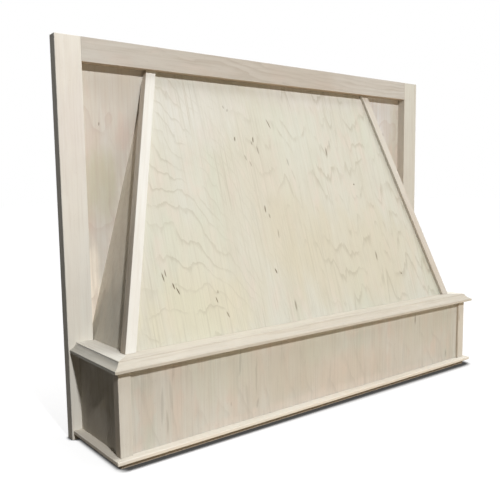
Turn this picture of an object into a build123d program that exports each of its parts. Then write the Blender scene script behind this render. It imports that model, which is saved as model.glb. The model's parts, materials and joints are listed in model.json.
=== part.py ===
"""Wooden range hood cover: a face frame with a tapered sloping body on a mantle ledge and a shallow box.

X runs to the right, +Y runs back into the wall and +Z runs up. The origin is at the middle of the
bottom of the whole cover. Sizes are in millimetres.
"""

import os
from math import atan2, cos, sin, tan

from build123d import *

os.makedirs("parts", exist_ok=True)

# ---------------------------------------------------------------- face frame
overall_width = 914.4
overall_height = 664.0
frame_thickness = 19.0
stile_width = 44.5
rail_height = 39.5
dowel_radius = 4.0
dowel_length = 40.0
dowel_edge_distance = 11.0

# ---------------------------------------------------------------- sheets and cleats behind the frame
sheet_thickness = 6.0
sheet_edge_inset = 20.0
sheet_rail_lap = 25.0
sheet_body_lap = 25.0
sheet_below_ledge = 36.0
cleat_thickness = 19.0
hanging_rail_height = 64.0
hanging_rail_drop = 190.5
hanging_rail_end_inset = 27.0
wall_screw_spacing = 406.4
wall_screw_hole_radius = 2.5
head_cleat_drop = 24.0
head_cleat_rise = 31.0
lower_cleat_width = 52.0
lower_cleat_bottom = 6.0
lower_cleat_outer_inset = 30.2
lower_cleat_hole_inset = 15.0
lower_cleat_hole_heights = (32.0, 122.0)

# ---------------------------------------------------------------- tapered body
batten_width = 19.2
batten_proud = 7.0
batten_lip = 7.0
front_panel_thickness = 9.0
batten_top_clear_of_stile = 124.0
batten_foot_over_stile = 5.5
batten_top_setback = 9.9
batten_foot_projection = 126.8
body_side_thickness = 12.0

# ---------------------------------------------------------------- ledge moulding
ledge_top = 166.0
ledge_thickness = 16.0
ledge_nose_projection = 165.9
ledge_nose_side_inset = 2.1
ledge_nose_height = 4.9
ledge_board_width = 80.0
ledge_cove_width = 11.5
ledge_cove_depth = 1.4
ledge_step_height = 1.5

# ---------------------------------------------------------------- box under the ledge
post_projection = 152.4
post_side_inset = 12.6
post_width = 21.0
post_depth = 16.0
apron_setback = 4.5
apron_thickness = 12.0
box_side_inset = 18.0
box_side_thickness = 12.0
corner_block_leg = 30.0
ledge_block_size = 19.0
ledge_block_length = 60.0
ledge_block_count = 5

# ---------------------------------------------------------------- base strip, plinth and liner ledgers
base_strip_projection = 163.5
base_strip_side_inset = 2.5
base_strip_thickness = 6.2
base_strip_width = 38.5
plinth_height = 10.1
plinth_width = 32.0
ledger_width = 32.0
ledger_height = 19.0
liner_hole_radius = 2.25
liner_hole_edge_distance = 8.0
liner_hole_setbacks = (20.0, 80.0)

# ---------------------------------------------------------------- screws
screw_radius = 2.0
screw_head_radius = 4.0
screw_head_height = 2.2
screw_clearance = 0.25
screw_bite = 12.0
sheet_screw_radius = 1.5
sheet_screw_head_radius = 3.0
sheet_screw_head_height = 1.5
sheet_screw_edge_distance = 9.0
sheet_screw_ledge_rises = (14.0, 134.0)
sheet_screw_rail_drops = (104.5, 24.5)
sheet_screw_stile_distances = (27.7, 102.7)
hanging_screw_end_distance = 9.0
hanging_screw_edge_distance = 17.0
lower_screw_edge_distance = 6.0
lower_screw_heights = (55.0, 100.0)
head_screw_end_distances = (30.0, 165.0)
box_screw_heights = (45.0, 115.0)
box_screw_bite = 20.0

# ---------------------------------------------------------------- worked out from the sizes above
half_width = overall_width / 2
overall_depth = ledge_nose_projection + frame_thickness + sheet_thickness + cleat_thickness
frame_face = ledge_nose_projection - overall_depth / 2
frame_back = frame_face + frame_thickness
sheet_back = frame_back + sheet_thickness
wall_face = sheet_back + cleat_thickness
stile_inner = half_width - stile_width
rail_underside = overall_height - rail_height
strip_top = plinth_height + base_strip_thickness
ledge_underside = ledge_top - ledge_thickness
box_height = ledge_underside - strip_top

body_height = rail_underside - ledge_top
batten_top_half_width = stile_inner - batten_top_clear_of_stile
batten_foot_half_width = stile_inner + batten_foot_over_stile
taper = (batten_foot_half_width - batten_top_half_width) / body_height
slope = atan2(batten_foot_projection + batten_top_setback, body_height)
body_side_run = body_side_thickness / cos(atan2(taper, 1.0))

post_face = frame_face - post_projection
post_back = post_face + post_depth
post_outer = half_width - post_side_inset
post_inner = post_outer - post_width
apron_face = post_face + apron_setback
apron_back = apron_face + apron_thickness
box_side_outer = half_width - box_side_inset
box_side_inner = box_side_outer - box_side_thickness
ledger_inner = box_side_inner - ledger_width
ledger_front_back = apron_back + ledger_width

# The batten's face plane, with its local Y running up the slope, and the two faces of the panel behind it.
batten_plane = Plane(
    origin=(0, frame_face + batten_top_setback, rail_underside),
    x_dir=(1, 0, 0),
    z_dir=(0, -cos(slope), sin(slope)),
)
panel_front_plane = batten_plane.offset(-batten_proud)
panel_back_plane = panel_front_plane.offset(-front_panel_thickness)
front_panel_run = (batten_proud + front_panel_thickness) / cos(slope)


def facing_front(depth):
    """A plane at this Y, with X to the right and Z up, that extrudes towards the front."""
    return Plane.XZ.offset(-depth)


def facing_right(across):
    """A plane at this X, with Y as its first axis and Z as its second, that extrudes to the right."""
    return Plane.YZ.offset(across)


def batten_edge(height):
    """Half width of the body at this height, at the batten's outer edge."""
    return batten_top_half_width + taper * (rail_underside - height)


def side_outer(height):
    """Outer face of the body's side at this height: the batten's lip overhangs it."""
    return batten_edge(height) - batten_lip


def side_inner(height):
    """Inner face of the body's side at this height."""
    return side_outer(height) - body_side_run


def panel_back_depth(height):
    """Y of the front panel's back face at this height."""
    drop = rail_underside - height
    return frame_face + batten_top_setback - drop * tan(slope) + front_panel_run


def save(part, name):
    """Label one finished piece and write it."""
    part.label = name
    export_step(part, f"parts/{name}.step")


def save_pair(part, name):
    """Write the right-hand piece and its mirror image."""
    save(part, f"right_{name}")
    save(part.mirror(Plane.YZ), f"left_{name}")


def block(x_range, y_range, z_range):
    """A plain board between these limits."""
    with BuildPart() as board:
        with BuildSketch(Plane.XY.offset(z_range[0])):
            with Locations(((x_range[0] + x_range[1]) / 2, (y_range[0] + y_range[1]) / 2)):
                Rectangle(x_range[1] - x_range[0], y_range[1] - y_range[0])
        extrude(amount=z_range[1] - z_range[0])
    return board.part


def tapered_strip(inner_offset, outer_offset, bottom, top):
    """A board seen from the front between two lines that follow the body's side, from front to frame back."""
    corners = [
        (batten_edge(bottom) - inner_offset, bottom),
        (batten_edge(bottom) - outer_offset, bottom),
        (batten_edge(top) - outer_offset, top),
        (batten_edge(top) - inner_offset, top),
    ]
    with BuildPart() as strip:
        with BuildSketch(facing_front(frame_back)):
            with BuildLine():
                Polyline(*corners, close=True)
            make_face()
        extrude(amount=ledge_nose_projection + frame_thickness)
    return strip.part


def driven_from_behind(depth, places):
    """Locations at these (x, z) places on the plane at this Y, for screws and holes that run forwards."""
    return [facing_front(depth) * Location((x, z, 0), (180, 0, 0)) for x, z in places]


def countersunk_holes(depth, places, length, radius, head_radius):
    """Cut clearance holes for countersunk screws, driven from behind, in the part being built."""
    with Locations(*driven_from_behind(depth, places)):
        CounterSinkHole(radius + screw_clearance, head_radius + screw_clearance, depth=length)


def screw(length, radius, head_radius, head_height):
    """A countersunk screw with its head at the origin, pointing along -Z."""
    with BuildPart() as fastener:
        with BuildSketch(Plane.XY.offset(-head_height)):
            Circle(radius)
        extrude(amount=head_height - length)
        with BuildSketch(Plane.XY):
            Circle(head_radius)
        with BuildSketch(Plane.XY.offset(-head_height)):
            Circle(radius)
        loft()
    return fastener.part


def screw_group(places, depth, length, radius, head_radius, head_height):
    """Screws driven forwards from this depth at these (x, z) places, as separate solids."""
    single = screw(length, radius, head_radius, head_height)
    with BuildPart() as group:
        with Locations(*driven_from_behind(depth, places)):
            add(single)
    return group.part


def both_sides(places):
    """These (x, z) places and their mirror images."""
    return [(side * x, z) for side in (1, -1) for x, z in places]


# ================================================================ screw and dowel places, as (x, z)
dowel_heights = (rail_underside + dowel_edge_distance, overall_height - dowel_edge_distance)
hanging_rail_half = half_width - hanging_rail_end_inset
hanging_rail_top = rail_underside - hanging_rail_drop
hanging_rail_bottom = hanging_rail_top - hanging_rail_height
hanging_screw_places = [
    (hanging_rail_half - hanging_screw_end_distance, hanging_rail_bottom + hanging_screw_edge_distance),
    (hanging_rail_half - hanging_screw_end_distance, hanging_rail_top - hanging_screw_edge_distance),
]
lower_cleat_outer = half_width - lower_cleat_outer_inset
lower_cleat_inner = lower_cleat_outer - lower_cleat_width
lower_screw_places = [(lower_cleat_outer - lower_screw_edge_distance, z) for z in lower_screw_heights]
lower_hole_places = [(lower_cleat_inner + lower_cleat_hole_inset, z) for z in lower_cleat_hole_heights]
box_screw_places = [(box_side_outer - box_side_thickness / 2, z) for z in box_screw_heights]
sheet_outer = half_width - sheet_edge_inset
sheet_top = rail_underside + sheet_rail_lap
sheet_bottom = ledge_top - sheet_below_ledge
sheet_screw_heights = [ledge_top + rise for rise in sheet_screw_ledge_rises]
sheet_screw_heights += [rail_underside - drop for drop in sheet_screw_rail_drops]
sheet_stile_places = [(sheet_outer - sheet_screw_edge_distance, z) for z in sheet_screw_heights]
sheet_rail_screw_height = sheet_top - sheet_screw_edge_distance
sheet_rail_places = [(stile_inner - run, sheet_rail_screw_height) for run in sheet_screw_stile_distances]
head_cleat_bottom = rail_underside - head_cleat_drop
head_cleat_top = rail_underside + head_cleat_rise
head_cleat_half = side_inner(head_cleat_top) - sheet_body_lap
head_screw_height = (rail_underside + head_cleat_top) / 2
head_screw_places = [(head_cleat_half - distance, head_screw_height) for distance in head_screw_end_distances]


# ================================================================ face frame
with BuildPart() as stile:
    with BuildSketch(Plane.XY):
        with Locations((half_width - stile_width / 2, frame_face + frame_thickness / 2)):
            Rectangle(stile_width, frame_thickness)
    extrude(amount=overall_height)
    with BuildSketch(facing_right(stile_inner)):
        with Locations(*[(frame_face + frame_thickness / 2, z) for z in dowel_heights]):
            Circle(dowel_radius)
    extrude(amount=dowel_length / 2, mode=Mode.SUBTRACT)
    with BuildSketch(facing_front(frame_back)):
        with Locations(*hanging_screw_places, *lower_screw_places):
            Circle(screw_radius)
    extrude(amount=screw_bite, mode=Mode.SUBTRACT)
    with BuildSketch(facing_front(frame_back)):
        with Locations(*sheet_stile_places):
            Circle(sheet_screw_radius)
    extrude(amount=screw_bite, mode=Mode.SUBTRACT)
    countersunk_holes(frame_back, box_screw_places, frame_thickness, screw_radius, screw_head_radius)
save_pair(stile.part, "stile")

with BuildPart() as top_rail:
    with BuildSketch(Plane.XY.offset(rail_underside)):
        with Locations((0, frame_face + frame_thickness / 2)):
            Rectangle(2 * stile_inner, frame_thickness)
    extrude(amount=rail_height)
    for side in (1, -1):
        with BuildSketch(facing_right(side * stile_inner)):
            with Locations(*[(frame_face + frame_thickness / 2, z) for z in dowel_heights]):
                Circle(dowel_radius)
        extrude(amount=-side * dowel_length / 2, mode=Mode.SUBTRACT)
    with BuildSketch(facing_front(frame_back)):
        with Locations(*both_sides(head_screw_places)):
            Circle(screw_radius)
        with Locations(*both_sides(sheet_rail_places)):
            Circle(sheet_screw_radius)
    extrude(amount=screw_bite, mode=Mode.SUBTRACT)
save(top_rail.part, "top_rail")

with BuildPart() as frame_dowels:
    for side in (1, -1):
        with BuildSketch(facing_right(side * stile_inner - dowel_length / 2)):
            with Locations(*[(frame_face + frame_thickness / 2, z) for z in dowel_heights]):
                Circle(dowel_radius)
        extrude(amount=dowel_length)
save(frame_dowels.part, "frame_dowels")


# ================================================================ recessed back panels
with BuildPart() as back_panel:
    with BuildSketch(facing_front(sheet_back)):
        with BuildLine():
            Polyline(
                (sheet_outer, sheet_bottom),
                (sheet_outer, sheet_top),
                (side_inner(sheet_top) - sheet_body_lap, sheet_top),
                (side_inner(sheet_bottom) - sheet_body_lap, sheet_bottom),
                close=True,
            )
        make_face()
    extrude(amount=sheet_thickness)
    countersunk_holes(
        sheet_back,
        sheet_stile_places + sheet_rail_places,
        sheet_thickness,
        sheet_screw_radius,
        sheet_screw_head_radius,
    )
    with BuildSketch(facing_front(sheet_back)):
        with Locations(*hanging_screw_places):
            Circle(screw_radius + screw_clearance)
    extrude(amount=sheet_thickness, mode=Mode.SUBTRACT)
save_pair(back_panel.part, "back_panel")

save(
    screw_group(
        both_sides(sheet_stile_places + sheet_rail_places),
        sheet_back,
        sheet_thickness + screw_bite,
        sheet_screw_radius,
        sheet_screw_head_radius,
        sheet_screw_head_height,
    ),
    "back_panel_screws",
)


# ================================================================ tapered body
with BuildPart() as front_panel:
    with BuildSketch(facing_front(frame_back)):
        with BuildLine():
            Polyline(
                (-side_outer(ledge_top), ledge_top),
                (side_outer(ledge_top), ledge_top),
                (side_outer(rail_underside), rail_underside),
                (-side_outer(rail_underside), rail_underside),
                close=True,
            )
        make_face()
    extrude(amount=ledge_nose_projection + frame_thickness)
    split(bisect_by=panel_front_plane, keep=Keep.BOTTOM)
    split(bisect_by=panel_back_plane, keep=Keep.TOP)
save(front_panel.part, "front_panel")

body_side_strip = tapered_strip(batten_lip + body_side_run, batten_lip, ledge_top, rail_underside)
with BuildPart() as body_side:
    add(body_side_strip)
    split(bisect_by=panel_back_plane, keep=Keep.BOTTOM)
save_pair(body_side.part, "body_side")

batten_face_strip = tapered_strip(batten_width, 0, ledge_top, rail_underside)
batten_lip_strip = tapered_strip(batten_lip, 0, ledge_top, rail_underside)
with BuildPart() as batten_lip_part:
    add(batten_lip_strip)
    split(bisect_by=panel_front_plane, keep=Keep.BOTTOM)
    split(bisect_by=panel_back_plane, keep=Keep.TOP)
with BuildPart() as batten:
    add(batten_face_strip)
    split(bisect_by=batten_plane, keep=Keep.BOTTOM)
    split(bisect_by=panel_front_plane, keep=Keep.TOP)
    add(batten_lip_part.part)
save_pair(batten.part, "batten")

# The square cleat in the corner between the side and the back panel stops where the body gets too shallow.
back_cleat_top = rail_underside - (front_panel_run + batten_top_setback) / tan(slope)
back_cleat_strip = tapered_strip(
    batten_lip + body_side_run + cleat_thickness, batten_lip + body_side_run, ledge_top, back_cleat_top
)
with BuildPart() as back_cleat:
    add(back_cleat_strip)
    split(bisect_by=facing_front(frame_back - cleat_thickness), keep=Keep.BOTTOM)
save_pair(back_cleat.part, "body_back_cleat")

# The cleat behind the front panel stops where it would meet the back cleat.
panel_cleat_top = back_cleat_top - (cleat_thickness / cos(slope)) / tan(slope)
panel_cleat_strip = tapered_strip(
    batten_lip + body_side_run + cleat_thickness, batten_lip + body_side_run, ledge_top, panel_cleat_top
)
with BuildPart() as panel_cleat:
    add(panel_cleat_strip)
    split(bisect_by=panel_back_plane, keep=Keep.BOTTOM)
    split(bisect_by=panel_back_plane.offset(-cleat_thickness), keep=Keep.TOP)
save_pair(panel_cleat.part, "body_panel_cleat")

foot_cleat_top = ledge_top + cleat_thickness
foot_cleat_half = side_inner(foot_cleat_top) - cleat_thickness
with BuildPart() as foot_cleat:
    with BuildSketch(facing_right(-foot_cleat_half)):
        with BuildLine():
            Polyline(
                (panel_back_depth(ledge_top), ledge_top),
                (panel_back_depth(ledge_top) + cleat_thickness, ledge_top),
                (panel_back_depth(ledge_top) + cleat_thickness, foot_cleat_top),
                (panel_back_depth(foot_cleat_top), foot_cleat_top),
                close=True,
            )
        make_face()
    extrude(amount=2 * foot_cleat_half)
save(foot_cleat.part, "body_foot_cleat")

with BuildPart() as head_cleat:
    with BuildSketch(facing_front(frame_back + cleat_thickness)):
        with Locations((0, (head_cleat_bottom + head_cleat_top) / 2)):
            Rectangle(2 * head_cleat_half, head_cleat_top - head_cleat_bottom)
    extrude(amount=cleat_thickness)
    countersunk_holes(
        frame_back + cleat_thickness,
        both_sides(head_screw_places),
        cleat_thickness,
        screw_radius,
        screw_head_radius,
    )
save(head_cleat.part, "head_cleat")

save(
    screw_group(
        both_sides(head_screw_places),
        frame_back + cleat_thickness,
        cleat_thickness + screw_bite,
        screw_radius,
        screw_head_radius,
        screw_head_height,
    ),
    "head_cleat_screws",
)


# ================================================================ mitred ledge moulding
nose_front = frame_face - ledge_nose_projection
nose_side = half_width - ledge_nose_side_inset
mitre_plane = Plane(origin=(nose_side, nose_front, 0), x_dir=(0, 0, 1), z_dir=(1, 1, 0))
left_mitre_plane = Plane(origin=(-nose_side, nose_front, 0), x_dir=(0, 0, 1), z_dir=(-1, 1, 0))


nose_top = ledge_underside + ledge_nose_height
cove_top = ledge_top - ledge_step_height

# The moulding's section: its nose is at 0 and its board runs to +X.
with BuildSketch() as ledge_section:
    with BuildLine():
        Polyline((0, nose_top), (0, ledge_underside), (ledge_board_width, ledge_underside))
        Line((ledge_board_width, ledge_underside), (ledge_board_width, ledge_top))
        Polyline((ledge_board_width, ledge_top), (ledge_cove_width, ledge_top), (ledge_cove_width, cove_top))
        SagittaArc((ledge_cove_width, cove_top), (0, nose_top), ledge_cove_depth)
    make_face()

with BuildPart() as ledge_front:
    with BuildSketch(Plane(origin=(-nose_side, nose_front, 0), x_dir=(0, 1, 0), z_dir=(1, 0, 0))):
        add(ledge_section.sketch_local)
    extrude(amount=2 * nose_side)
    split(bisect_by=mitre_plane, keep=Keep.BOTTOM)
    split(bisect_by=left_mitre_plane, keep=Keep.BOTTOM)
save(ledge_front.part, "ledge_front")

with BuildPart() as ledge_side:
    with BuildSketch(Plane(origin=(nose_side, frame_face, 0), x_dir=(-1, 0, 0), z_dir=(0, 1, 0))):
        add(ledge_section.sketch_local)
    extrude(amount=-ledge_nose_projection)
    split(bisect_by=mitre_plane, keep=Keep.TOP)
save_pair(ledge_side.part, "ledge_side")


# ================================================================ box under the ledge
save(
    block((-post_inner, post_inner), (apron_face, apron_back), (strip_top, ledge_underside)),
    "apron_panel",
)
save_pair(
    block((post_inner, post_outer), (post_face, post_back), (strip_top, ledge_underside)),
    "corner_post",
)

with BuildPart() as box_side:
    with BuildSketch(Plane.XY.offset(strip_top)):
        with Locations(((box_side_inner + box_side_outer) / 2, (post_back + frame_face) / 2)):
            Rectangle(box_side_thickness, frame_face - post_back)
    extrude(amount=box_height)
    with BuildSketch(facing_front(frame_face)):
        with Locations(*box_screw_places):
            Circle(screw_radius)
    extrude(amount=box_screw_bite, mode=Mode.SUBTRACT)
save_pair(box_side.part, "box_side")

save(
    screw_group(
        both_sides(box_screw_places),
        frame_back,
        frame_thickness + box_screw_bite,
        screw_radius,
        screw_head_radius,
        screw_head_height,
    ),
    "box_side_screws",
)

with BuildPart() as corner_block:
    with BuildSketch(Plane.XY.offset(strip_top + ledger_height)):
        with BuildLine():
            Polyline(
                (box_side_inner, apron_back),
                (box_side_inner, apron_back + corner_block_leg),
                (box_side_inner - corner_block_leg, apron_back),
                close=True,
            )
        make_face()
    extrude(amount=box_height - ledger_height)
save_pair(corner_block.part, "corner_block")

ledge_block_span = 2 * (box_side_inner - corner_block_leg - ledge_block_length)
with BuildPart() as ledge_blocks:
    with BuildSketch(Plane.XY.offset(ledge_underside - ledge_block_size)):
        with Locations((0, apron_back + ledge_block_size / 2)):
            with GridLocations(ledge_block_span / (ledge_block_count - 1), 1, ledge_block_count, 1):
                Rectangle(ledge_block_length, ledge_block_size)
    extrude(amount=ledge_block_size)
save(ledge_blocks.part, "ledge_blocks")


# ================================================================ base strip, plinth and liner ledgers
strip_front = frame_face - base_strip_projection
strip_side = half_width - base_strip_side_inset
strip_mitre_plane = Plane(origin=(strip_side, strip_front, 0), x_dir=(0, 0, 1), z_dir=(1, 1, 0))
left_strip_mitre_plane = Plane(origin=(-strip_side, strip_front, 0), x_dir=(0, 0, 1), z_dir=(-1, 1, 0))

front_strip_board = block(
    (-strip_side, strip_side), (strip_front, strip_front + base_strip_width), (plinth_height, strip_top)
)
with BuildPart() as base_strip_front:
    add(front_strip_board)
    split(bisect_by=strip_mitre_plane, keep=Keep.BOTTOM)
    split(bisect_by=left_strip_mitre_plane, keep=Keep.BOTTOM)
save(base_strip_front.part, "base_strip_front")

side_strip_board = block(
    (strip_side - base_strip_width, strip_side), (strip_front, frame_face), (plinth_height, strip_top)
)
with BuildPart() as base_strip_side:
    add(side_strip_board)
    split(bisect_by=strip_mitre_plane, keep=Keep.TOP)
save_pair(base_strip_side.part, "base_strip_side")

plinth_back = post_face + plinth_width
save(block((-post_outer, post_outer), (post_face, plinth_back), (0, plinth_height)), "plinth_front")
save_pair(
    block((post_outer - plinth_width, post_outer), (plinth_back, frame_face), (0, plinth_height)),
    "plinth_side",
)

ledger_top = strip_top + ledger_height
save(
    block((-box_side_inner, box_side_inner), (apron_back, ledger_front_back), (strip_top, ledger_top)),
    "liner_ledger_front",
)
liner_hole_across = ledger_inner + liner_hole_edge_distance
liner_hole_places = [(liner_hole_across, frame_face - setback) for setback in liner_hole_setbacks]
with BuildPart() as liner_ledger_side:
    with BuildSketch(Plane.XY.offset(strip_top)):
        with Locations(((ledger_inner + box_side_inner) / 2, (ledger_front_back + frame_face) / 2)):
            Rectangle(ledger_width, frame_face - ledger_front_back)
        with Locations(*liner_hole_places):
            Circle(liner_hole_radius, mode=Mode.SUBTRACT)
    extrude(amount=ledger_height)
save_pair(liner_ledger_side.part, "liner_ledger_side")


# ================================================================ wall fixings behind the frame
with BuildPart() as hanging_rail:
    with BuildSketch(facing_front(wall_face)):
        with Locations((0, (hanging_rail_bottom + hanging_rail_top) / 2)):
            Rectangle(2 * hanging_rail_half, hanging_rail_height)
            with GridLocations(wall_screw_spacing, 1, 2, 1):
                Circle(wall_screw_hole_radius, mode=Mode.SUBTRACT)
    extrude(amount=cleat_thickness)
    countersunk_holes(
        wall_face, both_sides(hanging_screw_places), cleat_thickness, screw_radius, screw_head_radius
    )
save(hanging_rail.part, "hanging_rail")

save(
    screw_group(
        both_sides(hanging_screw_places),
        wall_face,
        cleat_thickness + sheet_thickness + screw_bite,
        screw_radius,
        screw_head_radius,
        screw_head_height,
    ),
    "hanging_rail_screws",
)

lower_cleat_top = sheet_bottom
lower_cleat_middle = (lower_cleat_inner + lower_cleat_outer) / 2
with BuildPart() as lower_cleat:
    with BuildSketch(facing_front(wall_face)):
        with Locations((lower_cleat_middle, (lower_cleat_bottom + lower_cleat_top) / 2)):
            Rectangle(lower_cleat_width, lower_cleat_top - lower_cleat_bottom)
        with Locations(*lower_hole_places):
            Circle(wall_screw_hole_radius, mode=Mode.SUBTRACT)
    extrude(amount=wall_face - frame_back)
    countersunk_holes(
        wall_face, lower_screw_places, wall_face - frame_back, screw_radius, screw_head_radius
    )
save_pair(lower_cleat.part, "lower_cleat")

save(
    screw_group(
        both_sides(lower_screw_places),
        wall_face,
        wall_face - frame_back + screw_bite,
        screw_radius,
        screw_head_radius,
        screw_head_height,
    ),
    "lower_cleat_screws",
)
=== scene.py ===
"""Looks of the wooden range hood cover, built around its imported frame.

Every length is in metres, in the part's own axes: X to the right, Y back towards the wall, Z up.
"""

from __future__ import annotations

import sys

import json
import logging
import math
from dataclasses import dataclass, field, replace
from enum import Enum
from typing import Callable, Sequence

import bmesh
import bpy
from mathutils import Matrix, Vector

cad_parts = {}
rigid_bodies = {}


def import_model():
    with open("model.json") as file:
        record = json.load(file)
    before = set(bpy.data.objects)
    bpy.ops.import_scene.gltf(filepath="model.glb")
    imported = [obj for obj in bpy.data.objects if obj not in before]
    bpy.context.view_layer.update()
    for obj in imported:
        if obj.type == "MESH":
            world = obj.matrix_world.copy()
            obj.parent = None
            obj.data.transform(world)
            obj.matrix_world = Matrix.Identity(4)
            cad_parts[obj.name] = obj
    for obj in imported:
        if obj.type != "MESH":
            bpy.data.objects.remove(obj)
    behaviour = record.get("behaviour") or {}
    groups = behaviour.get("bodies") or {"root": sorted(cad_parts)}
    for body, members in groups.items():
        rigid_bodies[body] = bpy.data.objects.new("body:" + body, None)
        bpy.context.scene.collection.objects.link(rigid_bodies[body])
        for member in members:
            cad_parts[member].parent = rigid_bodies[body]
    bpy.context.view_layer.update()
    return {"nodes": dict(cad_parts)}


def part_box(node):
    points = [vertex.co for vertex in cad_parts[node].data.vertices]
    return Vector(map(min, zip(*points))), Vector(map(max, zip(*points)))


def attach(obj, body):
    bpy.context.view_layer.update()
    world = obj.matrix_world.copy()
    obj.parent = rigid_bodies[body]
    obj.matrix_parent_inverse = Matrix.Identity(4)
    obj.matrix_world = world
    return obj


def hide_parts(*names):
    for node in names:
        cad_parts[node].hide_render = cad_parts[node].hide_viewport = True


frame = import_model()

LOG = logging.getLogger("hood_cover")
Pair = tuple[float, float]
Triple = tuple[float, float, float]
Colour = Triple
Piece = bpy.types.Object
Place = Callable[[Vector], bool]

FRAME_FACE = 0.06095
FRAME_BACK = 0.07995
BEHIND_FRAME = (Vector((0, FRAME_BACK, 0)), Vector((0, 1, 0)))
LEDGE_TOP = 0.166
LEDGE_UNDERSIDE = 0.150
RAIL_UNDERSIDE = 0.6245

SHEET_EASE = 0.0003

# How near two places count as one, and how sharp an edge is eased, is shaded sharp and is kept.
NEAR = 0.00001
SHARP = math.radians(35)
SMOOTH = math.radians(40)
FLAT = math.radians(1)


class Side(Enum):
    """The two hands of a mirrored pair."""

    RIGHT = 1
    LEFT = -1

    def named(self, piece: str) -> str:
        """The node name of this hand of a pair."""
        return f"{self.name.lower()}_{piece}"


class Run(Enum):
    """The way a board's grain runs, with the direction that counts as its width."""

    UPRIGHT = (Vector((0, 0, 1)), Vector((1, 0, 0)))
    UPRIGHT_SIDE_ON = (Vector((0, 0, 1)), Vector((0, 1, 0)))
    LEVEL = (Vector((1, 0, 0)), Vector((0, 0, 1)))
    LEVEL_FLAT = (Vector((1, 0, 0)), Vector((0, 1, 0)))
    INWARD_FLAT = (Vector((0, 1, 0)), Vector((1, 0, 0)))


# ---------------- bench work


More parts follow.
